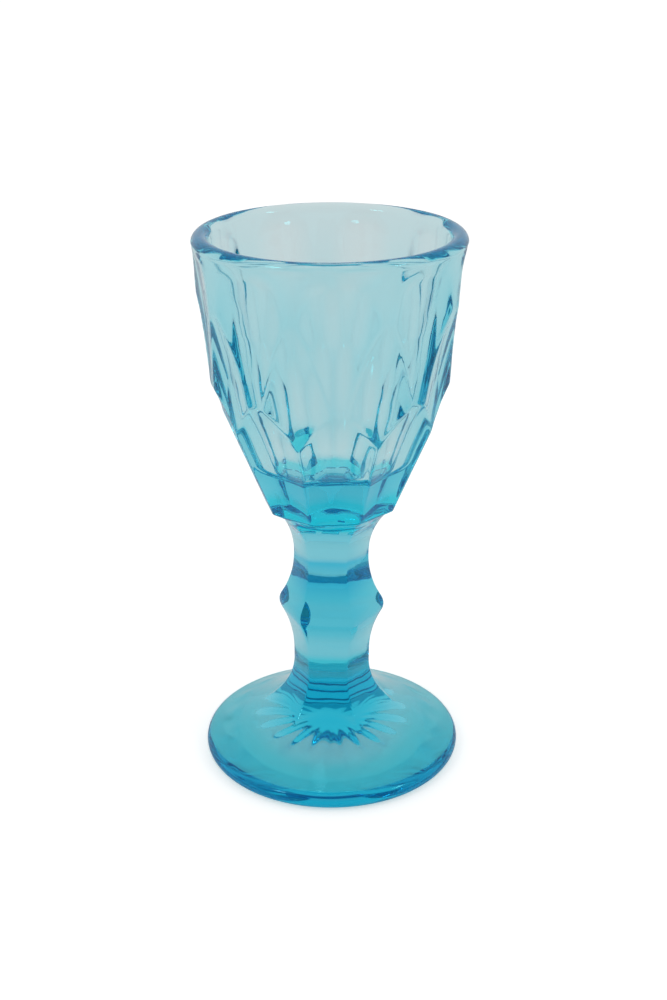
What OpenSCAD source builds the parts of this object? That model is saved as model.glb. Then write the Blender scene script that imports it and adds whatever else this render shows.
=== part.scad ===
// Cordial glass: a bowl cut with three rows of flat facets, on a six-sided stem
// with a knop, on a round domed foot. All three are the same aqua glass.
// Millimetres, +Z up. The origin is the centre of the foot, on the surface it stands on.

/* [Mould] */
// Turn of the mould seams about the axis, in degrees from the front. Corners of the stem,
// middle facets of the bowl and flutes of the foot are centred on them.
seam_turn = 24; // [-60:1:60]

/* [Foot] */
// Diameter of the foot at its widest
foot_d = 50.6; // [49:0.2:56]
// Radius of the rounded edge of the foot
foot_edge_r = 1.6; // [1.2:0.05:2]
// Height of the foot, up to the face that the stem stands on
foot_h = 7.5; // [7:0.5:9]
// Diameter of the face that the stem stands on
foot_top_d = 31.2; // [31:0.2:33]
// Slope of the foot's upper face next to its edge, in degrees
foot_edge_slope = 23; // [19:1:25]
// Width of the flat ring that the foot stands on
foot_ring_w = 6; // [4:0.2:7]
// Depth of the domed hollow inside that ring, at its middle
foot_hollow_h = 3; // [1:0.1:3.6]
// Number of shallow flutes under the foot
flutes = 18; // [8:1:20]
// Length of each flute
flute_l = 7.5; // [3:0.5:8]
// Depth of each flute
flute_h = 0.4; // [0.2:0.1:0.8]
// Radius of the round bottom of a flute
flute_r = 4; // [3:0.5:6]

/* [Stem] */
// Number of faces round the stem
stem_sides = 6; // [4:2:10]
// Distance across the corners at the face on the foot
stem_foot_d = 30.8; // [28:0.2:31]
// Height of the lower flare
flare_lo_h = 11.5; // [10:0.5:14]
// Radius of the lower flare next to the neck
flare_lo_r = 10.8; // [9:0.2:12]
// Angle that it turns through at that radius, in degrees, before it goes on in a wider arc
flare_lo_turn = 39; // [30:1:42]
// Distance across the corners of the lower neck
neck_lo_d = 14.8; // [12:0.2:15.8]
// Height of the straight stretch of the lower neck
neck_lo_h = 2.2; // [1:0.2:8]
// Height from the lower neck to the widest place of the knop
knop_lo_h = 10.4; // [8:0.1:14]
// Distance across the corners of the knop
knop_d = 20.4; // [18:0.2:22]
// Height from the widest place of the knop to the upper neck
knop_hi_h = 10.2; // [8:0.1:14]
// Radius that rounds the knop at its widest place
knop_round_r = 3; // [1:0.2:4]
// Distance across the corners of the upper neck
neck_hi_d = 14.4; // [12:0.2:16]
// Height of the straight stretch of the upper neck
neck_hi_h = 0.8; // [0.5:0.1:8]
// Height of the upper flare
flare_hi_h = 7.9; // [6:0.1:10]
// Distance across the corners at the face under the bowl
stem_bowl_d = 20.4; // [18:0.2:21]

/* [Bowl] */
// Height of the bowl, from the stem's upper face to the rim
bowl_h = 54.5; // [50:0.5:60]
// Diameter of the rim
rim_d = 49.2; // [47:0.2:52]
// Radius of the rounded lip, half its thickness
lip_r = 1.65; // [1.3:0.05:1.9]
// How far the lip stands out from the wall under it
lip_proud = 0.15; // [0:0.05:0.4]
// Diameter of the flat face that the stem is joined to
bowl_foot_d = 21.2; // [21:0.2:23]
// Diameter of the corner at the bottom of the bowl
corner_d = 25.8; // [24.8:0.2:26.6]
// Height of that corner over the stem's upper face
corner_h = 2.8; // [1.6:0.1:3.2]
// Slope of the lower wall from the vertical, in degrees
flare_angle = 22.6; // [21.4:0.1:23]
// Slope of the upper wall from the vertical, in degrees
lean_angle = 2.2; // [1.6:0.2:4]
// Radius of the bend between the lower and the upper wall
bend_r = 58; // [50:1:75]

/* [Cavity] */
// Thickness of the solid glass under the cavity
base_t = 11.2; // [9:0.2:14]
// Diameter of the cavity at its floor, before the corner is rounded
floor_d = 25; // [23:0.2:25.6]
// Radius of the rounded corner at the cavity's floor
floor_fillet_r = 3; // [1.5:0.1:4]
// Slope of the cavity's wall just under the lip, from the vertical, in degrees
cavity_lean = 6; // [3:0.5:9]

/* [Facets] */
// Number of facets in each of the three rows
columns = 9; // [8:1:12]
// Depth of the upper facets just under the lip
arch_depth = 0.6; // [0.4:0.1:1.2]
// Plain height between the rim and the tops of the upper facets
arch_top_gap = 2.9; // [2.7:0.1:4]
// Height of the upper facets
arch_h = 23.1; // [18:0.1:25]
// Radius of the arched tops of the upper facets
arch_r = 9.4; // [8.8:0.1:10.5]
// Height of the middle facets
diamond_h = 25.2; // [20:0.2:28]
// Distance from the rim to the tips of the middle facets
diamond_top_gap = 10.1; // [8:0.1:14]

/* [Hidden] */
glass_tint = [0.30, 0.70, 0.80];
// Steps along each curved stretch of an outline
arc_steps = 10;
// Thickness of a facet's cutter, and how far it runs on past the ends of its facet
cutter_t = 4;
cutter_margin = 3;
full_turn = 360;
half_turn = full_turn / 2;
// The seams' direction as an angle from +X
seam_side = seam_turn - 90;

stem_h = flare_lo_h + neck_lo_h + knop_lo_h + knop_hi_h + neck_hi_h + flare_hi_h;
bowl_z = foot_h + stem_h;
rim_z = bowl_z + bowl_h;
floor_z = bowl_z + base_t;
lip_z = rim_z - lip_r;
lip_axis_r = rim_d / 2 - lip_r;

column_angle = full_turn / columns;
// Half the width of a facet's cutter, as a share of what a half column takes at the rim
reach_share = 1.06;
facet_reach = rim_d / 2 * tan(column_angle / 2) * reach_share;
// Share of the half column that a lower facet takes, so that a thin edge stays between two
panel_share = 0.95;
// Share of the half column that a middle facet takes at its widest
diamond_share = 0.9;
// Distance between the flutes and the ring that the foot stands on
flute_gap = 1.2;
// The collar ends inside the stem, at this share of the distance to the middle of a face
collar_share = 0.95;

// Points of an arc round a centre, from one angle to another
function arc(centre, r, from, to, steps = arc_steps) =
    [for (i = [0:steps]) let (a = from + (to - from) * i / steps) centre + r * [cos(a), sin(a)]];

// An arc that leaves one point in a direction and ends at another: half its turn, its radius
// (negative where it turns to the right), its centre and its points
function arc_turn(from, slope, to) = atan2(to.y - from.y, to.x - from.x) - slope;
function arc_r(from, slope, to) = norm(to - from) / (2 * sin(arc_turn(from, slope, to)));
function arc_centre(from, slope, to) = from + arc_r(from, slope, to) * [-sin(slope), cos(slope)];
function arc_to(from, slope, to, steps = arc_steps) =
    let (r = arc_r(from, slope, to), start = slope - sign(r) * 90)
    arc(arc_centre(from, slope, to), abs(r), start, start + 2 * arc_turn(from, slope, to), steps);

// A wall of two straight stretches joined by a bend. low and top are points of the
// two stretches, flare and lean are their slopes from the vertical.
function bend_height(low, top, flare, lean) =
    (top.x - low.x - tan(lean) * top.y + tan(flare) * low.y) / (tan(flare) - tan(lean));
function bend_reach(flare, lean, bend) = bend * tan((flare - lean) / 2);
function bend_centre(low, top, flare, lean, bend) =
    let (z = bend_height(low, top, flare, lean) + bend_reach(flare, lean, bend) * cos(lean))
    [top.x - tan(lean) * (top.y - z) - bend * cos(lean), z + bend * sin(lean)];
function wall_r(z, low, top, flare, lean, bend) =
    let (mid = bend_height(low, top, flare, lean), reach = bend_reach(flare, lean, bend),
         centre = bend_centre(low, top, flare, lean, bend))
    z < mid - reach * cos(flare) ? low.x + tan(flare) * (z - low.y)
    : z > mid + reach * cos(lean) ? top.x - tan(lean) * (top.y - z)
    : centre.x + sqrt(bend * bend - (z - centre.y) ^ 2);

// The bowl's outer wall, from the corner to the lip
corner = [corner_d / 2, bowl_z + corner_h];
wall_top = [rim_d / 2 - lip_proud, lip_z];
function bowl_r(z) = wall_r(z, corner, wall_top, flare_angle, lean_angle, bend_r);

// The cavity's wall is one long arc, from the lip down to the rounded corner at the floor.
// cavity_flare is its slope from the vertical at the floor.
cavity_top = [lip_axis_r, lip_z] - lip_r * [cos(cavity_lean), sin(cavity_lean)];
floor_corner = [floor_d / 2, floor_z];
cavity_flare = 2 * atan2(cavity_top.x - floor_corner.x, cavity_top.y - floor_corner.y)
    - cavity_lean;
fillet_run = floor_fillet_r * tan((90 - cavity_flare) / 2);
cavity_end = floor_corner + fillet_run * [sin(cavity_flare), cos(cavity_flare)];

function bowl_outline() =
    let (fillet_at = floor_corner + [-fillet_run, floor_fillet_r])
    concat(
        [[0, bowl_z], [bowl_foot_d / 2, bowl_z], corner],
        arc(bend_centre(corner, wall_top, flare_angle, lean_angle, bend_r), bend_r,
            -flare_angle, -lean_angle),
        [wall_top],
        arc([lip_axis_r, lip_z], lip_r, 0, half_turn + cavity_lean),
        arc_to(cavity_top, -90 - cavity_lean, cavity_end),
        arc(fillet_at, floor_fillet_r, -cavity_flare, -90),
        [[0, floor_z]]
    );

// A flat-faced cutter for one facet: it takes off what lies outside the line through the
// two points, over the outline drawn by the children. The outline's origin is the low point.
module facet_cutter(side, low, top) {
    slope = atan2(top.x - low.x, top.y - low.y);
    rotate([0, 0, side]) translate([low.x, 0, low.y]) rotate([0, slope, 0])
        rotate([90, 0, 90]) linear_extrude(cutter_t) children();
}

// Upper facets: an arched top under the lip, running out to a point below
module arch_facets() {
    arch_z = rim_z - arch_top_gap;
    low = [bowl_r(arch_z - arch_h), arch_z - arch_h];
    top = [bowl_r(arch_z) - arch_depth, arch_z];
    straight_h = norm(top - low) - arch_r;
    outline = concat([[-arch_r, -cutter_margin], [arch_r, -cutter_margin]],
                     arc([0, straight_h], arch_r, 0, half_turn));
    for (i = [0:columns - 1]) facet_cutter(column_side(i + 1 / 2), low, top) polygon(outline);
}

// Middle facets: cut across the bend of the wall, between the columns of the others
module diamond_facets() {
    tip_z = rim_z - diamond_top_gap;
    mid_z = tip_z - diamond_h / 2;
    mid_r = bowl_r(mid_z) * cos(diamond_share * column_angle / 2);
    rise = [bowl_r(tip_z) - bowl_r(tip_z - diamond_h), diamond_h] / 2;
    for (i = [0:columns - 1])
        facet_cutter(column_side(i), [mid_r, mid_z] - rise, [mid_r, mid_z] + rise)
            translate([-facet_reach, -cutter_margin])
                square([2 * facet_reach, diamond_h + 2 * cutter_margin]);
}

// Lower facets: a panel from each corner at the bottom of the bowl to the middle row
module panel_facets() {
    inset_share = cos(panel_share * column_angle / 2);
    low = [corner.x * inset_share, corner.y];
    top = low + [tan(flare_angle) * inset_share, 1] * (rim_z - arch_top_gap - arch_h - corner.y);
    for (i = [0:columns - 1]) facet_cutter(column_side(i + 1 / 2), low, top)
        translate([-facet_reach, -cutter_margin])
            square([2 * facet_reach, norm(top - low) + 2 * cutter_margin]);
}

// Direction of a column of facets. The middle row's columns have whole numbers, and the
// other rows' columns lie halfway between.
function column_side(i) = seam_side + i * column_angle;

module bowl() {
    color(glass_tint) difference() {
        difference() {
            difference() {
                rotate_extrude($fn = 180) polygon(bowl_outline());
                diamond_facets();
            }
            panel_facets();
        }
        arch_facets();
    }
}

// Radius of the arc that leaves a neck upright and gains reach over a height
function flare_r(reach, h) = (reach * reach + h * h) / (2 * reach);
// One side of the knop: a hollow arc that leaves the neck upright, and the rounded middle.
// The points run from the neck, at the origin, to the widest place.
function knop_side(reach, h) =
    let (hollow_r = flare_r(reach, h) - knop_round_r, turn = asin(h / (hollow_r + knop_round_r)))
    concat(
        arc([hollow_r, 0], hollow_r, half_turn, half_turn - turn),
        arc([reach - knop_round_r, h], knop_round_r, -turn, 0, arc_steps / 2)
    );
// Direction in which the lower flare leaves the foot, so that it runs into its upper arc
function flare_end(bend) =
    2 * atan2(bend.y, bend.x - stem_foot_d / 2) - (90 + flare_lo_turn);
// Half the distance across the corners of the stem, at each height over the foot's face
function stem_corner_points() =
    let (z1 = flare_lo_h, z2 = z1 + neck_lo_h, z3 = z2 + knop_lo_h, z4 = z3 + knop_hi_h,
         z5 = z4 + neck_hi_h,
         lo = neck_lo_d / 2, hi = neck_hi_d / 2, knop = knop_d / 2,
         bend = [lo + flare_lo_r * (1 - cos(flare_lo_turn)), z1 - flare_lo_r * sin(flare_lo_turn)],
         hi_r = flare_r(stem_bowl_d / 2 - hi, flare_hi_h),
         knop_lo = knop_side(knop - lo, knop_lo_h), knop_hi = knop_side(knop - hi, knop_hi_h))
    concat(
        arc_to([stem_foot_d / 2, 0], flare_end(bend), bend),
        arc([lo + flare_lo_r, z1], flare_lo_r, half_turn + flare_lo_turn, half_turn),
        [for (p = knop_lo) [lo + p.x, z2 + p.y]],
        [for (i = [len(knop_hi) - 2:-1:0]) [hi + knop_hi[i].x, z4 - knop_hi[i].y]],
        arc([hi + hi_r, z5], hi_r, half_turn, half_turn - asin(flare_hi_h / hi_r))
    );

// Two opposite faces of the stem, as one slab with the stem's side outline
module stem_slab() {
    face_share = cos(half_turn / stem_sides);
    side = [for (p = stem_corner_points()) [p.x * face_share, p.y]];
    mirrored = [for (i = [len(side) - 1:-1:0]) [-side[i].x, side[i].y]];
    slab_w = 2 * (knop_d + stem_foot_d + stem_bowl_d);
    rotate([90, 0, 0]) linear_extrude(slab_w, center = true) polygon(concat(side, mirrored));
}

// The foot's upper face leaves the rounded edge at its slope and rises to the stem
foot_edge_axis = [foot_d / 2 - foot_edge_r, foot_edge_r];
foot_rise_dir = half_turn - foot_edge_slope;
foot_rise_start = foot_edge_axis + foot_edge_r * [sin(foot_edge_slope), cos(foot_edge_slope)];
foot_rise_end = [foot_top_d / 2, foot_h];
foot_rise_r = -arc_r(foot_rise_start, foot_rise_dir, foot_rise_end);
foot_rise_centre = arc_centre(foot_rise_start, foot_rise_dir, foot_rise_end);

// The domed hollow under the foot
hollow_edge_r = foot_edge_axis.x - foot_ring_w;
hollow_r = flare_r(foot_hollow_h, hollow_edge_r);
function hollow_z(r) = foot_hollow_h - hollow_r + sqrt(hollow_r ^ 2 - r ^ 2);

// The foot's outline: the hollow, the flat ring, the rounded edge, the rising upper face
// and the stem's seat
function foot_outline() =
    concat(
        arc([0, foot_hollow_h - hollow_r], hollow_r, 90, 90 - asin(hollow_edge_r / hollow_r)),
        arc(foot_edge_axis, foot_edge_r, -90, 90 - foot_edge_slope),
        arc_to(foot_rise_start, foot_rise_dir, foot_rise_end),
        [[0, foot_h]]
    );

// Shallow round-bottomed flutes, side by side in the hollow under the foot
module foot_flutes() {
    outer = [hollow_edge_r - flute_gap, hollow_z(hollow_edge_r - flute_gap) + flute_h];
    inner = [outer.x - flute_l, hollow_z(outer.x - flute_l) + flute_h];
    for (i = [0:flutes - 1])
        rotate([0, 0, seam_side + i * full_turn / flutes])
            translate([inner.x, 0, inner.y - flute_r])
                rotate([0, 90 + atan2(inner.y - outer.y, flute_l), 0])
                    cylinder(h = norm(outer - inner), r = flute_r, $fn = 48);
}

// The foot's upper face runs on up the stem as a collar. The stem's faces end on it in arches.
module collar() {
    top_r = neck_lo_d / 2 * cos(half_turn / stem_sides) * collar_share;
    start = -acos((foot_rise_end.x - foot_rise_centre.x) / foot_rise_r);
    stop = -acos((top_r - foot_rise_centre.x) / foot_rise_r);
    side = arc(foot_rise_centre - [0, foot_h], foot_rise_r, start, stop);
    rotate_extrude($fn = 180) polygon(concat([[0, 0]], side, [[0, side[len(side) - 1].y]]));
}

module stem() {
    color(glass_tint) translate([0, 0, foot_h]) {
        intersection_for (i = [0:stem_sides / 2 - 1])
            rotate([0, 0, seam_side + (i + 1 / 2) * full_turn / stem_sides]) stem_slab();
        collar();
    }
}

module foot() {
    color(glass_tint) difference() {
        rotate_extrude($fn = 180) polygon(foot_outline());
        foot_flutes();
    }
}

bowl();
stem();
foot();
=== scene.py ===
"""Cordial glass: one piece of aqua pressed glass, with a faceted bowl, a knopped stem and a foot.

The glass is a turned outline that a mould with flat faces then presses in. Each sub-assembly
gives its stretch of the outline, and the mould is a Geometry Nodes tree. All lengths are metres,
and the angles that are fields of a class are degrees.
"""

from __future__ import annotations

import logging
import math
from dataclasses import dataclass, field
from enum import Enum

import bpy
import numpy as np
from mathutils import Matrix, Vector

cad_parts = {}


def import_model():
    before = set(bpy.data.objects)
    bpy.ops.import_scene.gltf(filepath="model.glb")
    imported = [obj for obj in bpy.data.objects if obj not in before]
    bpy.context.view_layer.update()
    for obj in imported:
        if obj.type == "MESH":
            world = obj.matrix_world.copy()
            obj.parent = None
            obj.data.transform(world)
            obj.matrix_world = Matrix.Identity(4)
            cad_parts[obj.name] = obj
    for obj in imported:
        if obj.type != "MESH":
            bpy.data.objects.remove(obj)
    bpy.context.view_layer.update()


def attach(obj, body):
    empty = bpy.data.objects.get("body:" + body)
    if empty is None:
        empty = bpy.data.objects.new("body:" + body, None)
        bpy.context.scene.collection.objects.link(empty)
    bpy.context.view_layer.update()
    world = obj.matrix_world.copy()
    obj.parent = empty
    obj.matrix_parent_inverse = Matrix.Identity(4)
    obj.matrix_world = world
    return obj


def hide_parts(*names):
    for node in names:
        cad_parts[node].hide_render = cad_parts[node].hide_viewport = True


LOG = logging.getLogger("cordial_glass")
MM = 0.001
Point = tuple[float, float]
Place = tuple[float, float, float]
Colour = tuple[float, float, float]


class Press(Enum):
    """Which face of the mould shapes a stretch of the outline."""

    NONE = "smooth inside, lip and edges"
    STEM = "six flat faces and the foot's dome"
    UNDERSIDE = "from the stem's six sides to the bowl's nine"
    BOWL = "three rows of nine facets"
    FLUTES = "flutes under the foot"


@dataclass(frozen=True)
class Ring:
    """One ring of points of the turned outline, before the mould presses it."""

    radius: float
    height: float
    press: Press = Press.NONE
    corner_r: float = 0.0
    # How far the ring has gone from the stem's sides to the bowl's facets
    share: float = 1.0


def arc(centre: Point, radius: float, start: float, stop: float, steps: int) -> list[Point]:
    """Give the points of an arc.

    Args:
        centre: The arc's centre.
        radius: Its radius.
        start: The angle of its first point, in degrees.
        stop: The angle of its last point, in degrees.
        steps: How many stretches it has.

    Returns:
        The points, both ends among them.
    """
    angles = np.radians(np.linspace(start, stop, steps + 1))
    return [(centre[0] + radius * math.cos(a), centre[1] + radius * math.sin(a)) for a in angles]


@dataclass
class Wall:
    """A wall of two straight stretches joined by a bend, as a radius at each height."""

    low: Point
    top: Point
    flare: float
    lean: float
    bend_r: float

    def radius(self, z: float) -> float:
        """Give the wall's radius at a height.

        Args:
            z: The height.

        Returns:
            The radius.
        """
        flare, lean = math.tan(math.radians(self.flare)), math.tan(math.radians(self.lean))
        rise = self.top[0] - self.low[0] - lean * self.top[1] + flare * self.low[1]
        corner = rise / (flare - lean)
        reach = self.bend_r * math.tan(math.radians(self.flare - self.lean) / 2)
        if z < corner - reach * math.cos(math.radians(self.flare)):
            return self.low[0] + flare * (z - self.low[1])
        end = corner + reach * math.cos(math.radians(self.lean))
        if z > end:
            return self.top[0] - lean * (self.top[1] - z)
        centre_r = self.top[0] - lean * (self.top[1] - end)
        centre_r -= self.bend_r * math.cos(math.radians(self.lean))
        centre_z = end + self.bend_r * math.sin(math.radians(self.lean))
        return centre_r + math.sqrt(self.bend_r**2 - (z - centre_z) ** 2)


@dataclass
class Foot:
    """The round domed foot, with a hollow underneath that holds the flutes."""

    radius: float = 25.29 * MM
    edge_r: float = 1.6 * MM
    height: float = 7.5 * MM
    top_r: float = 15.6 * MM
    edge_slope: float = 23.0
    # Height up to which the stem's faces run out into the dome
    dome_reach: float = 20.0 * MM
    ring_w: float = 6.0 * MM
    hollow_h: float = 3.0 * MM
    flute_count: int = 18
    flute_gap: float = 1.2 * MM
    flute_l: float = 15.0 * MM
    flute_h: float = 0.12 * MM
    ripple_h: float = 0.2 * MM
    hollow_steps: int = 30
    edge_steps: int = 12
    dome_steps: int = 9

    @property
    def hollow_r(self) -> float:
        """Radius at which the hollow under the foot ends and the flat ring begins."""
        return self.radius - self.edge_r - self.ring_w

    def dome(self) -> tuple[Point, float, float]:
        """Fit the arc of the upper face between the rounded edge and the stem.

        Returns:
            The arc's centre, its radius and the angle that it turns through, in degrees.
        """
        slope = math.radians(self.edge_slope)
        start = (
            self.radius - self.edge_r + self.edge_r * math.sin(slope),
            self.edge_r + self.edge_r * math.cos(slope),
        )
        run, rise = start[0] - self.top_r, self.height - start[1]
        turn = math.atan2(rise, run) - slope
        radius = math.hypot(run, rise) / (2 * math.sin(turn))
        centre = (start[0] + radius * math.sin(slope), start[1] + radius * math.cos(slope))
        return centre, radius, 2 * math.degrees(turn)

    def dome_r(self, ring: Ring) -> float:
        """Give the radius of the upper face, or of its run up the stem, at a ring of the stem.

        Args:
            ring: The ring.

        Returns:
            The radius, which is 0 on other rings and well above the foot.
        """
        if ring.press is not Press.STEM or ring.height >= self.dome_reach:
            return 0.0
        centre, radius, _ = self.dome()
        drop = min(abs(ring.height - centre[1]), radius)
        return centre[0] - math.sqrt(radius**2 - drop**2)

    def flute(self, ring: Ring) -> float:
        """Give how deep the flutes are at a ring, and the ripples that they leave on top.

        Args:
            ring: The ring.

        Returns:
            The depth, as a share of the flutes' full depth.
        """
        if ring.press is Press.FLUTES:
            depth, share = 1.0, (self.hollow_r - self.flute_gap - ring.radius) / self.flute_l
        else:
            depth = self.ripple_h / self.flute_h if ring.height < self.height else 0.0
            share = (ring.radius - self.top_r) / (self.radius - self.edge_r - self.top_r)
        return depth * math.sin(math.pi * share) ** 2 if 0.0 < share < 1.0 else 0.0

    def rings(self) -> list[Ring]:
        """Give the foot's rings.

        Returns:
            The rings, from the middle of its underside to its upper face.
        """
        hollow = (self.hollow_r**2 + self.hollow_h**2) / (2 * self.hollow_h)
        low = self.hollow_h - hollow
        steps = np.linspace(0.0, self.hollow_r, self.hollow_steps + 1)[1:]
        under = [Ring(r, low + math.sqrt(hollow**2 - r**2), Press.FLUTES) for r in steps]
        edge_axis = (self.radius - self.edge_r, self.edge_r)
        edge = arc(edge_axis, self.edge_r, -90.0, 90.0 - self.edge_slope, self.edge_steps)
        centre, radius, turn = self.dome()
        start = -90.0 - self.edge_slope
        upper = arc(centre, radius, start, start - 0.5 * turn, self.dome_steps)[1:]
        return under + [Ring(r, z) for r, z in edge + upper]


@dataclass
class Stem:
    """The six-sided stem: a flare at each end, two necks and the knop between them."""

    foot: Foot
    sides: int = 6
    foot_r: float = 15.4 * MM
    # How far its lowest ring lies below the top of the foot
    sunk: float = 2.0 * MM
    flare_lo_h: float = 11.5 * MM
    flare_lo_r: float = 10.8 * MM
    flare_lo_turn: float = 39.0
    neck_lo_r: float = 7.4 * MM
    neck_lo_h: float = 2.2 * MM
    knop_lo_h: float = 10.4 * MM
    knop_r: float = 10.2 * MM
    knop_round_r: float = 3.0 * MM
    knop_hi_h: float = 10.2 * MM
    neck_hi_r: float = 7.2 * MM
    neck_hi_h: float = 0.8 * MM
    flare_hi_h: float = 7.9 * MM
    bowl_r: float = 10.2 * MM
    row_h: float = 0.5 * MM

    @property
    def top(self) -> float:
        """Height at which the bowl begins."""
        parts = (self.flare_lo_h, self.neck_lo_h, self.knop_lo_h)
        return self.foot.height + sum(parts) + self.knop_hi_h + self.neck_hi_h + self.flare_hi_h

    def corner_r(self, z: float) -> float:
        """Give half the distance across the corners at a height.

        Args:
            z: The height over the table.

        Returns:
            The radius of the corners.
        """
        neck_lo = self.foot.height + self.flare_lo_h
        knop_from = neck_lo + self.neck_lo_h
        knop = knop_from + self.knop_lo_h
        neck_hi = knop + self.knop_hi_h
        flare_from = neck_hi + self.neck_hi_h
        if z < neck_lo:
            return self.neck_lo_r + self.flare_low(neck_lo - z)
        if z < knop_from:
            return self.neck_lo_r
        if z < knop:
            reach = self.knop_r - self.neck_lo_r
            return self.neck_lo_r + self.knop_side(reach, self.knop_lo_h, z - knop_from)
        if z < neck_hi:
            reach = self.knop_r - self.neck_hi_r
            return self.neck_hi_r + self.knop_side(reach, self.knop_hi_h, neck_hi - z)
        if z < flare_from:
            return self.neck_hi_r
        return self.neck_hi_r + self.flare_high(z - flare_from)

    def flare_low(self, at: float) -> float:
        """Give how far the lower flare has opened: one arc, then a wider one down to the foot.

        Args:
            at: How far below the neck.

        Returns:
            The gain in radius there.
        """
        turn = math.radians(self.flare_lo_turn)
        bend = (self.flare_lo_r * (1 - math.cos(turn)), self.flare_lo_r * math.sin(turn))
        if at <= bend[1]:
            return self.flare_lo_r - math.sqrt(self.flare_lo_r**2 - at**2)
        if at > self.flare_lo_h:
            return self.foot_r - self.neck_lo_r + (at - self.flare_lo_h) * math.tan(turn)
        run, drop = self.foot_r - self.neck_lo_r - bend[0], self.flare_lo_h - bend[1]
        half = math.atan2(run, drop) - turn
        radius = math.hypot(run, drop) / (2 * math.sin(half))
        centre = (bend[0] + radius * math.cos(turn), bend[1] - radius * math.sin(turn))
        return centre[0] - math.sqrt(radius**2 - (at - centre[1]) ** 2)

    def knop_side(self, reach: float, height: float, at: float) -> float:
        """Give how far one side of the knop stands out: a hollow arc, then the rounded middle.

        Args:
            reach: How far the knop stands out in all.
            height: The height from the neck to its widest place.
            at: How far from the neck.

        Returns:
            The gain in radius there.
        """
        both = (reach**2 + height**2) / (2 * reach)
        hollow = both - self.knop_round_r
        if at < height * hollow / both:
            return hollow - math.sqrt(hollow**2 - at**2)
        rounded = math.sqrt(max(self.knop_round_r**2 - (height - at) ** 2, 0.0))
        return reach - self.knop_round_r + rounded

    def flare_high(self, at: float) -> float:
        """Give how far the upper flare has opened.

        Args:
            at: How far above the neck.

        Returns:
            The gain in radius there.
        """
        reach = self.bowl_r - self.neck_hi_r
        radius = (reach**2 + self.flare_hi_h**2) / (2 * reach)
        return radius - math.sqrt(max(radius**2 - at**2, 0.0))

    def rings(self) -> list[Ring]:
        """Give the stem's rings.

        Returns:
            The rings, from inside the foot's dome to the bowl.
        """
        start = self.foot.height - self.sunk
        count = round((self.top - start) / self.row_h)
        heights = np.linspace(start, self.top, count + 1)
        return [Ring(self.corner_r(z), z, Press.STEM, self.corner_r(z)) for z in heights]


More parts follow.
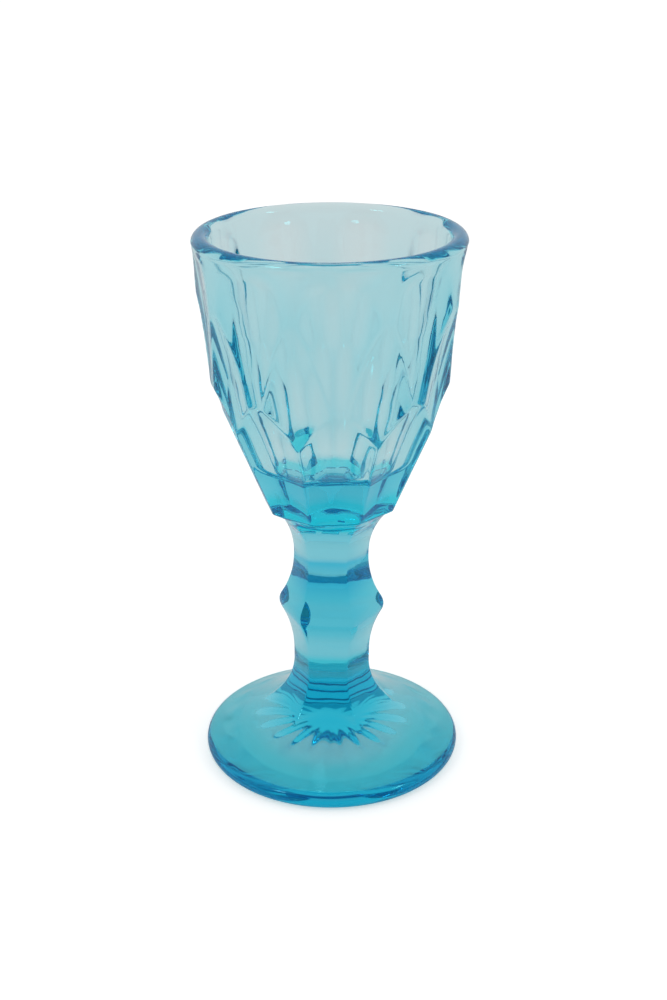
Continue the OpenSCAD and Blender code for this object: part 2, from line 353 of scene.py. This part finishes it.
@dataclass
class Bowl:
    """The bowl: facets outside, a smooth cavity inside, solid glass under the cavity."""

    stem: Stem
    height: float = 54.5 * MM
    rim_r: float = 24.6 * MM
    lip_r: float = 1.65 * MM
    lip_proud: float = 0.15 * MM
    # Angle on the lip's rounding at which the outer wall meets it
    lip_from: float = 8.0
    foot_r: float = 10.6 * MM
    corner_r: float = 12.9 * MM
    corner_h: float = 2.8 * MM
    flare: float = 23.2
    lean: float = 1.2
    bend_r: float = 50.0 * MM
    base_t: float = 11.2 * MM
    floor_r: float = 12.5 * MM
    floor_fillet: float = 3.0 * MM
    cavity_lean: float = 6.0
    row_h: float = 0.36 * MM
    under_steps: int = 7
    lip_steps: int = 14
    cavity_steps: int = 23
    fillet_steps: int = 8
    floor_steps: int = 8

    @property
    def base(self) -> float:
        """Height of the bowl's lowest face."""
        return self.stem.top

    @property
    def rim(self) -> float:
        """Height of the rim."""
        return self.base + self.height

    @property
    def floor(self) -> float:
        """Height of the cavity's floor."""
        return self.base + self.base_t

    @property
    def lip_axis(self) -> Point:
        """Where the lip's rounding has its centre."""
        return self.rim_r - self.lip_r, self.rim - self.lip_r

    @property
    def cavity_top(self) -> Point:
        """Where the cavity's wall leaves the lip."""
        lean, (r, z) = math.radians(self.cavity_lean), self.lip_axis
        return r - self.lip_r * math.cos(lean), z - self.lip_r * math.sin(lean)

    @property
    def cavity_flare(self) -> float:
        """Slope of the cavity's wall at the floor, from the vertical."""
        r, z = self.cavity_top
        return math.degrees(2 * math.atan2(r - self.floor_r, z - self.floor)) - self.cavity_lean

    def outside(self) -> Wall:
        """Give the outer wall.

        Returns:
            The wall, before its facets are pressed.
        """
        low = (self.corner_r, self.base + self.corner_h)
        top = (self.rim_r - self.lip_proud, self.rim - self.lip_r)
        return Wall(low, top, self.flare, self.lean, self.bend_r)

    def cavity(self) -> list[Point]:
        """Give the cavity's wall, one long arc from the lip to the rounded corner at the floor.

        Returns:
            The points of the wall, from the lip down.
        """
        flare, lean = math.radians(self.cavity_flare), math.radians(self.cavity_lean)
        run = self.floor_fillet * math.tan(math.radians(90.0 - self.cavity_flare) / 2)
        end = (self.floor_r + run * math.sin(flare), self.floor + run * math.cos(flare))
        top = self.cavity_top
        drop = (end[0] - top[0], end[1] - top[1])
        inward = (-math.cos(lean), math.sin(lean))
        along = drop[0] * inward[0] + drop[1] * inward[1]
        radius = (drop[0] ** 2 + drop[1] ** 2) / (2 * along)
        centre = (top[0] + radius * inward[0], top[1] + radius * inward[1])
        heights = np.linspace(top[1], end[1], self.cavity_steps + 1)
        return [(centre[0] + math.sqrt(radius**2 - (z - centre[1]) ** 2), z) for z in heights]

    def underside(self) -> list[Ring]:
        """Give the rings of the slope from the stem to the bowl's lowest corner.

        Returns:
            The rings, the last corner not among them.
        """
        rings = []
        for share in np.linspace(0.0, 1.0, self.under_steps + 1)[:-1]:
            radius = self.foot_r + (self.corner_r - self.foot_r) * share
            z = self.base + self.corner_h * share
            rings.append(Ring(radius, z, Press.UNDERSIDE, self.stem.bowl_r, share))
        return rings

    def rings(self) -> list[Ring]:
        """Give the bowl's rings.

        Returns:
            The rings of its underside, its outside, the lip and the cavity.
        """
        wall = self.outside()
        count = round((wall.top[1] - wall.low[1]) / self.row_h)
        heights = np.linspace(wall.low[1], wall.top[1], count)
        outside = [Ring(wall.radius(z), z, Press.BOWL) for z in heights]
        stop = 180.0 + self.cavity_lean
        lip = arc(self.lip_axis, self.lip_r, self.lip_from, stop, self.lip_steps)
        fillet = self.floor_fillet
        turn = math.radians((90.0 - self.cavity_flare) / 2)
        centre = (self.floor_r - fillet * math.tan(turn), self.floor + fillet)
        corner = arc(centre, fillet, -self.cavity_flare, -90.0, self.fillet_steps)
        across = np.linspace(centre[0], 0.0, self.floor_steps + 1)[1:-1]
        inside = self.cavity()[1:-1] + corner + [(r, self.floor) for r in across]
        return self.underside() + outside + [Ring(r, z) for r, z in lip + inside]


class Tree:
    """A node tree whose sums are written with Fields, and whose nodes come from one method."""

    def __init__(self, tree: bpy.types.NodeTree) -> None:
        """Take a tree and empty it.

        Args:
            tree: The tree to fill.
        """
        self.tree = tree
        tree.nodes.clear()

    def node(
        self, kind: str, settings: dict[str, object] | None = None, *first: object, **named: object
    ) -> bpy.types.Node:
        """Add a node.

        Args:
            kind: The node's type.
            settings: Its settings, which are set first, with a ramp's stops among them.
            *first: Values, sockets or Fields for its first inputs, in their order.
            **named: The same for inputs by name, with _ for a space.

        Returns:
            The node.
        """
        node = self.tree.nodes.new(kind)
        for name, value in (settings or {}).items():
            if name == "stops":
                self.set_stops(node.color_ramp.elements, value)
            else:
                setattr(node, name, value)
        places = list(zip(node.inputs, first))
        places += [(node.inputs[name.replace("_", " ")], value) for name, value in named.items()]
        for place, value in places:
            source = value.socket if isinstance(value, Field) else value
            if isinstance(source, bpy.types.NodeSocket):
                self.tree.links.new(source, place)
            else:
                place.default_value = source
        return node

    @staticmethod
    def set_stops(marks: bpy.types.ColorRampElements, stops: tuple) -> None:
        """Give a colour ramp its stops in place of the two that it comes with.

        Args:
            marks: The ramp's marks.
            stops: A place from 0 to 1 and a colour for each stop.
        """
        for at, shade in stops:
            marks.new(at).color = (*shade, 1.0)
        marks.remove(marks[0])
        marks.remove(marks[-1])


class Field:
    """A socket of a node tree that takes part in sums, as a number does."""

    def __init__(self, tree: Tree, socket: bpy.types.NodeSocket) -> None:
        """Wrap a socket.

        Args:
            tree: The tree that the socket is in.
            socket: The output to read.
        """
        self.tree, self.socket = tree, socket

    def math(self, operation: str, *others: Field | float, swap: bool = False) -> Field:
        """Add a Math node.

        Args:
            operation: What it does.
            *others: Its values after this one.
            swap: Whether this value comes second instead.

        Returns:
            The result.
        """
        values: list[Field | float] = [self, *others]
        if swap:
            values[:2] = values[1], values[0]
        node = self.tree.node("ShaderNodeMath", {"operation": operation}, *values)
        return Field(self.tree, node.outputs[0])

    def __add__(self, other: Field | float) -> Field:
        """Add."""
        return self.math("ADD", other)

    __radd__ = __add__

    def __sub__(self, other: Field | float) -> Field:
        """Subtract."""
        return self.math("SUBTRACT", other)

    def __rsub__(self, other: Field | float) -> Field:
        """Subtract from a number."""
        return self.math("SUBTRACT", other, swap=True)

    def __mul__(self, other: Field | float) -> Field:
        """Multiply."""
        return self.math("MULTIPLY", other)

    __rmul__ = __mul__

    def __truediv__(self, other: Field | float) -> Field:
        """Divide."""
        return self.math("DIVIDE", other)

    def __rtruediv__(self, other: Field | float) -> Field:
        """Divide a number."""
        return self.math("DIVIDE", other, swap=True)

    def least(self, other: Field | float, soft: Field | float) -> Field:
        """Take the smaller of two, with a soft edge between them."""
        return self.math("SMOOTH_MIN", other, soft)

    def most(self, other: Field | float, soft: Field | float) -> Field:
        """Take the greater of two, with a soft edge between them."""
        return self.math("SMOOTH_MAX", other, soft)

    def above_zero(self) -> Field:
        """Keep the value from falling below 0."""
        return self.math("MAXIMUM", 0.0)

    def as_share(self) -> Field:
        """Keep the value between 0 and 1."""
        return self.above_zero().math("MINIMUM", 1.0)

    def blend(self, other: Field | float, share: Field | float) -> Field:
        """Go from this value to another by a share from 0 to 1."""
        return self + (self * -1.0 + other) * share


@dataclass(frozen=True)
class Facets:
    """Sizes of the three rows of facets, with heights measured down from the rim."""

    columns: int = 9
    # Angle from the front to the seam between two columns
    seam: float = 24.0
    arch_depth: float = 0.6 * MM
    arch_gap: float = 2.9 * MM
    arch_h: float = 23.1 * MM
    arch_r: float = 9.4 * MM
    arch_fade: float = 2.4 * MM
    # Share of the top row's height over which its hollow grows to the full depth
    arch_hollowed: float = 0.5
    diamond_gap: float = 10.1 * MM
    diamond_h: float = 25.2 * MM
    # Where a facet's plane crosses the wall, as a share of half a column
    diamond_share: float = 0.9
    panel_share: float = 0.95
    hollow: float = 1.0 * MM
    soft: float = 0.3 * MM
    stem_soft: float = 1.8 * MM
    # What softened corners lose, given back as a share of the soft edge
    stem_swell: float = 0.2
    uneven: float = 0.05 * MM
    uneven_scale: float = 260.0


class Mould:
    """The mould, as a Geometry Nodes tree that presses flat faces into the turned outline."""

    def __init__(self, foot: Foot, stem: Stem, bowl: Bowl, facets: Facets) -> None:
        """Take the sizes that the faces follow, and name the tree's inputs after them.

        Args:
            foot: The foot.
            stem: The stem.
            bowl: The bowl.
            facets: The facets' sizes.
        """
        self.foot, self.stem, self.bowl, self.facets = foot, stem, bowl, facets
        self.half = math.pi / facets.columns
        self.arch_top = bowl.rim - facets.arch_gap
        self.arch_low = self.arch_top - facets.arch_h
        self.sizes: dict[str, float] = {
            "Columns": facets.columns,
            "Stem Sides": stem.sides,
            "Soft Edge": facets.soft,
            "Stem Soft Edge": facets.stem_soft,
            "Hollow": facets.hollow,
            "Unevenness": facets.uneven,
            "Unevenness Scale": facets.uneven_scale,
            "Arch Depth": facets.arch_depth,
            "Arch Radius": facets.arch_r,
        }
        self.tree = Tree(bpy.data.node_groups.new("press_mould", "GeometryNodeTree"))
        self.sockets = self.name_inputs()
        self.given = self.tree.node("NodeGroupInput").outputs
        self.value = {name: Field(self.tree, self.given[name]) for name in self.sizes}

    def name_inputs(self) -> dict[str, str]:
        """Give the tree its inputs and its output.

        Returns:
            The identifier of each input by its name.
        """
        face = self.tree.tree.interface
        face.new_socket("Geometry", in_out="OUTPUT", socket_type="NodeSocketGeometry")
        kinds = {"Geometry": "NodeSocketGeometry"}
        for name, value in self.sizes.items():
            kinds[name] = "NodeSocketInt" if isinstance(value, int) else "NodeSocketFloat"
        kinds["Material"] = "NodeSocketMaterial"
        return {
            name: face.new_socket(name, in_out="INPUT", socket_type=kind).identifier
            for name, kind in kinds.items()
        }

    def attribute(self, name: str) -> Field:
        """Read a number stored on the points."""
        node = self.tree.node("GeometryNodeInputNamedAttribute", {"data_type": "FLOAT"}, name)
        return Field(self.tree, node.outputs["Attribute"])

    def off_centre(self, angle: Field, count: Field, shift: float) -> Field:
        """Give the angle from the middle of the nearest of some equal columns.

        Args:
            angle: The angle about the axis from the front.
            count: How many columns there are.
            shift: How far the columns are turned from the seams, as a share of a column.

        Returns:
            The angle from the nearest column's middle.
        """
        step = 2 * math.pi / count
        low = step * (shift - 0.5) + math.radians(self.facets.seam)
        return (angle - low).math("WRAP", step, 0.0) - step * 0.5

    def facet(self, z: Field, side: Field, low: Point, top: Point) -> Field:
        """Give the radius of a facet that passes through two points, hollowed at its middle.

        Args:
            z: The height.
            side: The angle from the facet's middle.
            low: The lower point, as radius and height.
            top: The upper point.

        Returns:
            The radius.
        """
        slope = (top[0] - low[0]) / (top[1] - low[1])
        middle = (z - low[1]) * slope + low[0]
        across = side / self.half
        height = (z - (low[1] + top[1]) / 2) / ((top[1] - low[1]) / 2)
        bulge = (1.0 - across * across) * (1.0 - height * height)
        return middle / side.math("COSINE") - self.value["Hollow"] * bulge.above_zero()

    def diamonds(self, z: Field, side: Field) -> Field:
        """Give the radius of the middle row, which crosses the wall's bend.

        Args:
            z: The height.
            side: The angle from the nearest facet's middle.

        Returns:
            The radius.
        """
        facets, outside = self.facets, self.bowl.outside()
        reach = facets.diamond_h / 2
        mid_z = self.bowl.rim - facets.diamond_gap - reach
        mid_r = outside.radius(mid_z) * math.cos(facets.diamond_share * self.half)
        gain = (outside.radius(mid_z + reach) - outside.radius(mid_z - reach)) / 2
        return self.facet(z, side, (mid_r - gain, mid_z - reach), (mid_r + gain, mid_z + reach))

    def panels(self, z: Field, side: Field) -> Field:
        """Give the radius of the low row, which rises from the bowl's lowest corner.

        Args:
            z: The height.
            side: The angle from the nearest facet's middle.

        Returns:
            The radius.
        """
        inset = math.cos(self.facets.panel_share * self.half)
        low_r, low_z = self.bowl.outside().low
        gain = math.tan(math.radians(self.bowl.flare)) * (self.arch_low - low_z)
        high = ((low_r + gain) * inset, self.arch_low)
        return self.facet(z, side, (low_r * inset, low_z), high)

    def arches(self, z: Field, side: Field) -> Field:
        """Give the radius of the top row, which sinks deeper toward its arched tops.

        Args:
            z: The height.
            side: The angle from the nearest facet's middle.

        Returns:
            The radius.
        """
        facets, outside = self.facets, self.bowl.outside()
        foot_r = outside.radius(self.arch_low)
        gain = self.value["Arch Depth"] * -1.0 + (outside.radius(self.arch_top) - foot_r)
        flat = (gain / facets.arch_h * (z - self.arch_low) + foot_r) / side.math("COSINE")
        across = side / self.half
        deep = ((self.arch_top - z) / (facets.arch_hollowed * facets.arch_h)).as_share()
        return flat - self.value["Hollow"] * deep * (1.0 - across * across).above_zero()

    def under_arches(self, z: Field, side: Field, wall: Field) -> Field:
        """Give where the top row is pressed.

        Args:
            z: The height.
            side: The angle from the nearest facet's middle.
            wall: The radius of the unpressed wall.

        Returns:
            The share, 1 under the arched tops and 0 over them.
        """
        radius = self.value["Arch Radius"]
        off = wall * side.math("SINE")
        drop = radius * radius - off * off
        top = drop.above_zero().math("SQRT") - radius + self.arch_top
        return ((top - z) / self.facets.arch_fade + 0.5).as_share()

    def pressed_bowl(self, z: Field, angle: Field, wall: Field) -> Field:
        """Give the bowl's radius, with three rows of facets cut in the turned wall.

        Args:
            z: The height.
            angle: The angle about the axis.
            wall: The radius of the unpressed wall.

        Returns:
            The radius.
        """
        soft, columns = self.value["Soft Edge"], self.value["Columns"]
        middle = self.off_centre(angle, columns, 0.0)
        between = self.off_centre(angle, columns, 0.5)
        cut = wall.least(self.diamonds(z, middle), soft).least(self.panels(z, between), soft)
        arched = cut.least(self.arches(z, between), soft)
        return cut.blend(arched, self.under_arches(z, between, wall))

    def pressed_stem(self, angle: Field) -> Field:
        """Give the stem's radius: flat faces, soft corners, and the foot's dome over them.

        Args:
            angle: The angle about the axis.

        Returns:
            The radius.
        """
        soft = self.value["Stem Soft Edge"]
        corner = self.attribute("corner_r") + soft * self.facets.stem_swell
        side = self.off_centre(angle, self.value["Stem Sides"], 0.5)
        face = corner * math.cos(math.pi / self.stem.sides) / side.math("COSINE")
        return face.least(corner, soft).most(self.attribute("dome_r"), self.value["Soft Edge"])

    def flutes(self, angle: Field) -> Field:
        """Give how far the flutes and the ripples lift the foot's faces.

        Args:
            angle: The angle about the axis.

        Returns:
            The lift.
        """
        count = self.foot.flute_count
        side = self.off_centre(angle, self.value["Stem Sides"] * (count / self.stem.sides), 0.0)
        wave = (side * float(count)).math("COSINE") * 0.5 + 0.5
        return wave * self.attribute("flute") * self.foot.flute_h

    def build(self) -> bpy.types.NodeTree:
        """Build the tree.

        Returns:
            The finished tree.
        """
        tree = self.tree
        spot = tree.node("GeometryNodeInputPosition").outputs[0]
        scale = self.value["Unevenness Scale"]
        noise = tree.node("ShaderNodeTexNoise", Vector=spot, Scale=scale, Detail=1.0)
        uneven = (Field(tree, noise.outputs[0]) - 0.5) * self.value["Unevenness"] * 2.0
        x, y, z = (Field(tree, s) for s in tree.node("ShaderNodeSeparateXYZ", None, spot).outputs)
        angle = x.math("ARCTAN2", y * -1.0)
        wall = self.attribute("wall_r")
        bowl = self.pressed_bowl(z, angle, wall)
        pressed = self.pressed_stem(angle).blend(bowl, self.attribute("bowl_share"))
        radius = wall.blend(pressed + uneven, self.attribute("pressed"))
        across = (radius * angle.math("SINE"), radius * angle.math("COSINE") * -1.0)
        moved = tree.node("ShaderNodeCombineXYZ", None, *across, z + self.flutes(angle))
        shaped = tree.node(
            "GeometryNodeSetPosition", Geometry=self.given["Geometry"], Position=moved.outputs[0]
        )
        smooth = tree.node("GeometryNodeSetShadeSmooth", Geometry=shaped.outputs[0])
        whole = tree.node("GeometryNodeRealizeInstances", Geometry=smooth.outputs[0])
        dressed = tree.node(
            "GeometryNodeSetMaterial", Geometry=whole.outputs[0], Material=self.given["Material"]
        )
        tree.node("NodeGroupOutput", Geometry=dressed.outputs[0])
        return tree.tree


@dataclass(frozen=True)
class AquaGlass:
    """Clear glass, tinted aqua all through, so that thick places are deeper in colour, with
    painted shade by height on its surface.
    """

    # Tints of the surface by height, from the table up, as a share of the glass's height: the aqua
    # tint with painted shade, darker and deeper bands at the foot's edge, on the stem and under
    # the bowl that stand in for the dark colour of light turned back inside thick glass
    tints_and_painted_shade: tuple[tuple[float, Colour], ...] = (
        (0.0, (0.04, 0.8, 0.94)),
        (0.01, (0.12, 0.87, 0.96)),
        (0.024, (0.75, 0.97, 0.99)),
        (0.05, (0.9, 0.98, 0.99)),
        (0.09, (0.85, 0.99, 1.0)),
        (0.11, (0.12, 0.88, 0.96)),
        (0.165, (0.08, 0.9, 0.97)),
        (0.185, (0.78, 0.93, 0.96)),
        (0.25, (0.78, 0.93, 0.96)),
        (0.27, (0.4, 0.88, 0.96)),
        (0.34, (0.4, 0.88, 0.96)),
        (0.37, (0.05, 0.62, 0.88)),
        (0.385, (0.88, 0.95, 0.97)),
        (0.475, (0.88, 0.95, 0.97)),
        (0.485, (0.05, 0.97, 1.0)),
        (0.52, (0.06, 0.98, 1.0)),
        (0.545, (1.0, 1.0, 1.0)),
    )
    height: float = 105.0 * MM
    reflected: Colour = (0.25, 0.95, 1.0)
    # How much of red, green and blue the glass takes away in a metre
    absorbed: Colour = (92.0, 18.0, 8.0)
    density: float = 200.0
    ior: float = 1.5
    roughness: float = 0.01
    wave: float = 0.05
    wave_h: float = 0.4 * MM
    wave_scale: float = 160.0
    wave_detail: float = 1.5

    def material(self) -> bpy.types.Material:
        """Make the material.

        Returns:
            The material.
        """
        material = bpy.data.materials.new("aqua_glass")
        material.use_nodes = True
        tree = Tree(material.node_tree)
        spot = tree.node("ShaderNodeTexCoord").outputs["Object"]
        z = Field(tree, tree.node("ShaderNodeSeparateXYZ", None, spot).outputs["Z"])
        # Surface colour by height: the aqua tint with painted shade in darker bands
        tint_and_painted_shade = tree.node("ShaderNodeValToRGB", {"stops": self.tints_and_painted_shade}, z / self.height)
        noise = tree.node(
            "ShaderNodeTexNoise", Vector=spot, Scale=self.wave_scale, Detail=self.wave_detail
        )
        bump = tree.node(
            "ShaderNodeBump",
            Strength=self.wave,
            Distance=self.wave_h,
            Height=noise.outputs["Fac"],
        )
        surface = tree.node(
            "ShaderNodeBsdfPrincipled",
            Base_Color=tint_and_painted_shade.outputs[0],
            Roughness=self.roughness,
            IOR=self.ior,
            Transmission_Weight=1.0,
            Specular_Tint=(*self.reflected, 1.0),
            Normal=bump.outputs[0],
        )
        kept = (*(1.0 - share / self.density for share in self.absorbed), 1.0)
        inside = tree.node("ShaderNodeVolumeAbsorption", Color=kept, Density=self.density)
        tree.node("ShaderNodeOutputMaterial", None, surface.outputs[0], inside.outputs[0])
        return material


@dataclass
class Glass:
    """The whole glass as one closed mesh, since the bowl, stem and foot are fused."""

    foot: Foot = field(default_factory=Foot)
    facets: Facets = field(default_factory=Facets)
    finish: AquaGlass = field(default_factory=AquaGlass)
    segments: int = 270

    def __post_init__(self) -> None:
        """Stand the stem on the foot and the bowl on the stem."""
        self.stem = Stem(self.foot)
        self.bowl = Bowl(self.stem)

    def turned(self, rings: list[Ring]) -> bpy.types.Object:
        """Turn the outline about the axis.

        Args:
            rings: The outline's rings.

        Returns:
            The turned, unpressed glass.
        """
        count = self.segments
        angles = 2 * math.pi * np.arange(count) / count
        radius = np.array([ring.radius for ring in rings])
        xyz = np.zeros((len(rings), count, 3))
        xyz[..., 0] = radius[:, None] * np.sin(angles)
        xyz[..., 1] = -radius[:, None] * np.cos(angles)
        xyz[..., 2] = np.array([ring.height for ring in rings])[:, None]
        points = [tuple(point) for point in xyz.reshape(-1, 3)]
        poles = len(points)
        points += [(0.0, 0.0, rings[0].height), (0.0, 0.0, rings[-1].height)]
        end = (len(rings) - 1) * count
        faces: list[tuple[int, ...]] = []
        for i in range(count):
            j = (i + 1) % count
            faces += [(poles, j, i), (poles + 1, end + i, end + j)]
            faces += [(k + i, k + j, k + count + j, k + count + i) for k in range(0, end, count)]
        mesh = bpy.data.meshes.new("cordial_glass")
        mesh.from_pydata(points, [], faces)
        mesh.validate()
        glass = bpy.data.objects.new("cordial_glass", mesh)
        bpy.context.scene.collection.objects.link(glass)
        return glass

    def numbers(self, rings: list[Ring]) -> dict[str, list[float]]:
        """Work out the numbers that the mould reads on each ring.

        Args:
            rings: The outline's rings.

        Returns:
            One value a ring, by the name that the mould knows them by.
        """
        moved = (Press.STEM, Press.UNDERSIDE, Press.BOWL)
        shares = {Press.STEM: 0.0, Press.BOWL: 1.0}
        return {
            "wall_r": [ring.radius for ring in rings],
            "corner_r": [ring.corner_r for ring in rings],
            "dome_r": [self.foot.dome_r(ring) for ring in rings],
            "bowl_share": [shares.get(ring.press, ring.share) for ring in rings],
            "pressed": [float(ring.press in moved) for ring in rings],
            "flute": [self.foot.flute(ring) for ring in rings],
        }

    def store(self, mesh: bpy.types.Mesh, name: str, rows: list[float]) -> None:
        """Store a number on each point of the mesh, with 0 on the two points on the axis.

        Args:
            mesh: The mesh.
            name: The attribute's name.
            rows: One value a ring.
        """
        values = np.append(np.repeat(rows, self.segments), [0.0, 0.0])
        layer = mesh.attributes.new(name, "FLOAT", "POINT")
        layer.data.foreach_set("value", values.astype(np.float32))

    def build(self) -> bpy.types.Object:
        """Press the turned glass in the mould and dress it.

        Returns:
            The finished piece.
        """
        rings = self.foot.rings() + self.stem.rings() + self.bowl.rings()
        numbers = self.numbers(rings)
        glass = self.turned(rings)
        for name, rows in numbers.items():
            self.store(glass.data, name, rows)
        mould = Mould(self.foot, self.stem, self.bowl, self.facets)
        press = glass.modifiers.new("press_mould", "NODES")
        press.node_group = mould.build()
        for name, value in mould.sizes.items():
            press[mould.sockets[name]] = value
        press[mould.sockets["Material"]] = self.finish.material()
        view = bpy.context.evaluated_depsgraph_get()
        mesh = bpy.data.meshes.new_from_object(glass.evaluated_get(view), depsgraph=view)
        glass.modifiers.clear()
        glass.data = mesh
        for name in numbers:
            if name in mesh.attributes:
                mesh.attributes.remove(mesh.attributes[name])
        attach(glass, "root")
        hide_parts("bowl", "stem", "foot")
        return glass


@dataclass(frozen=True)
class Paper:
    """White paper that sends back a share of its light and glows a little."""

    share: float
    glow: float = 0.0

    def shader(self, tree: Tree) -> bpy.types.NodeSocket:
        """Add the paper to a material.

        Args:
            tree: The material's tree.

        Returns:
            The shader's output.
        """
        white = tree.node("ShaderNodeBsdfDiffuse", Color=(*(self.share,) * 3, 1.0))
        light = tree.node("ShaderNodeEmission", Strength=self.glow)
        both = tree.node("ShaderNodeAddShader", None, white.outputs[0], light.outputs[0])
        return both.outputs[0]


@dataclass(frozen=True)
class Lamp:
    """A square soft lamp."""

    name: str
    place: Place
    size: float
    power: float

    def hang(self, aim: Vector) -> None:
        """Hang the lamp.

        Args:
            aim: The point that it faces.
        """
        data = bpy.data.lights.new(self.name, "AREA")
        data.size, data.energy = self.size, self.power
        lamp = bpy.data.objects.new(self.name, data)
        lamp.location = self.place
        lamp.rotation_euler = (aim - lamp.location).to_track_quat("-Z", "Y").to_euler()
        bpy.context.scene.collection.objects.link(lamp)


@dataclass
class Studio:
    """The plain white table, the light and the camera."""

    focal_mm: float = 53.1
    sensor_mm: float = 36.0
    nearest: float = 10.0 * MM
    distance: float = 0.2574
    height: float = 0.1652
    aside: float = 0.0005
    pitch: float = 23.53
    roll: float = -0.2
    table_half: float = 3.0
    table_gap: float = 0.1 * MM
    lit: Paper = Paper(0.9)
    seen_through: Paper = Paper(0.5, 0.36)
    seen: Paper = Paper(0.9, 0.46)
    level: float = 0.75
    front_level: float = 0.33
    front_from: float = -0.2
    front_to: float = -0.7
    aim: Place = (0.0, 0.0, 0.05)
    lamps: tuple[Lamp, ...] = (
        Lamp("key", (-0.7, -0.5, 0.9), 0.22, 1.0),
        Lamp("fill", (0.8, -0.3, 0.8), 0.18, 0.6),
    )
    bounces: int = 32
    glossy_bounces: int = 16

    def camera(self) -> None:
        """Place the camera at the photograph's viewing angle."""
        data = bpy.data.cameras.new("camera")
        data.lens, data.sensor_width = self.focal_mm, self.sensor_mm
        data.clip_start = self.nearest
        camera = bpy.data.objects.new("camera", data)
        camera.location = (self.aside, -self.distance, self.height)
        tilt = Matrix.Rotation(math.radians(90.0 - self.pitch), 3, "X")
        roll = Matrix.Rotation(math.radians(self.roll), 3, "Z")
        camera.rotation_euler = (tilt @ roll).to_euler()
        bpy.context.scene.collection.objects.link(camera)
        bpy.context.scene.camera = camera

    def table(self) -> None:
        """Lay a white table under the glass, a little greyer where it is seen through glass."""
        half, low = self.table_half, -self.table_gap
        corners = [(-half, -half, low), (half, -half, low), (half, half, low), (-half, half, low)]
        mesh = bpy.data.meshes.new("table")
        mesh.from_pydata(corners, [], [(0, 1, 2, 3)])
        table = bpy.data.objects.new("table", mesh)
        bpy.context.scene.collection.objects.link(table)
        material = bpy.data.materials.new("white_table")
        material.use_nodes = True
        tree = Tree(material.node_tree)
        path = tree.node("ShaderNodeLightPath").outputs
        paper = self.lit.shader(tree)
        others = {"Is Transmission Ray": self.seen_through, "Is Camera Ray": self.seen}
        for ray, other in others.items():
            mix = tree.node("ShaderNodeMixShader", None, path[ray], paper, other.shader(tree))
            paper = mix.outputs[0]
        tree.node("ShaderNodeOutputMaterial", Surface=paper)
        mesh.materials.append(material)

    def world(self) -> None:
        """Fill the room with soft white light, dimmer in front, and show it as white."""
        world = bpy.data.worlds.new("studio")
        world.use_nodes = True
        tree = Tree(world.node_tree)
        light, dim, white = (
            tree.node("ShaderNodeBackground", None, (1.0, 1.0, 1.0, 1.0), strength).outputs[0]
            for strength in (self.level, self.front_level, 1.0)
        )
        spot = tree.node("ShaderNodeTexCoord").outputs["Object"]
        y = Field(tree, tree.node("ShaderNodeSeparateXYZ", None, spot).outputs["Y"])
        front = ((y - self.front_from) / (self.front_to - self.front_from)).as_share()
        room = tree.node("ShaderNodeMixShader", None, front, light, dim).outputs[0]
        camera = tree.node("ShaderNodeLightPath").outputs["Is Camera Ray"]
        both = tree.node("ShaderNodeMixShader", None, camera, room, white)
        tree.node("ShaderNodeOutputWorld", Surface=both.outputs[0])
        bpy.context.scene.world = world

    def build(self) -> None:
        """Set up the camera, the table, the room and the lamps."""
        self.camera()
        self.table()
        self.world()
        for lamp in self.lamps:
            lamp.hang(Vector(self.aim))
        scene = bpy.context.scene
        scene.view_settings.view_transform = "Standard"
        # Light turns back many times inside thick glass before it finds its way out
        scene.cycles.max_bounces = self.bounces
        scene.cycles.transmission_bounces = self.bounces
        scene.cycles.glossy_bounces = self.glossy_bounces


def main() -> None:
    """Build the glass and the studio, and report each piece."""
    logging.basicConfig(level=logging.INFO, format="%(name)s: %(message)s")
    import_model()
    glass = Glass().build()
    LOG.info("%s: %d faces, rides on root", glass.name, len(glass.data.polygons))
    Studio().build()


if __name__ == "__main__":
    main()
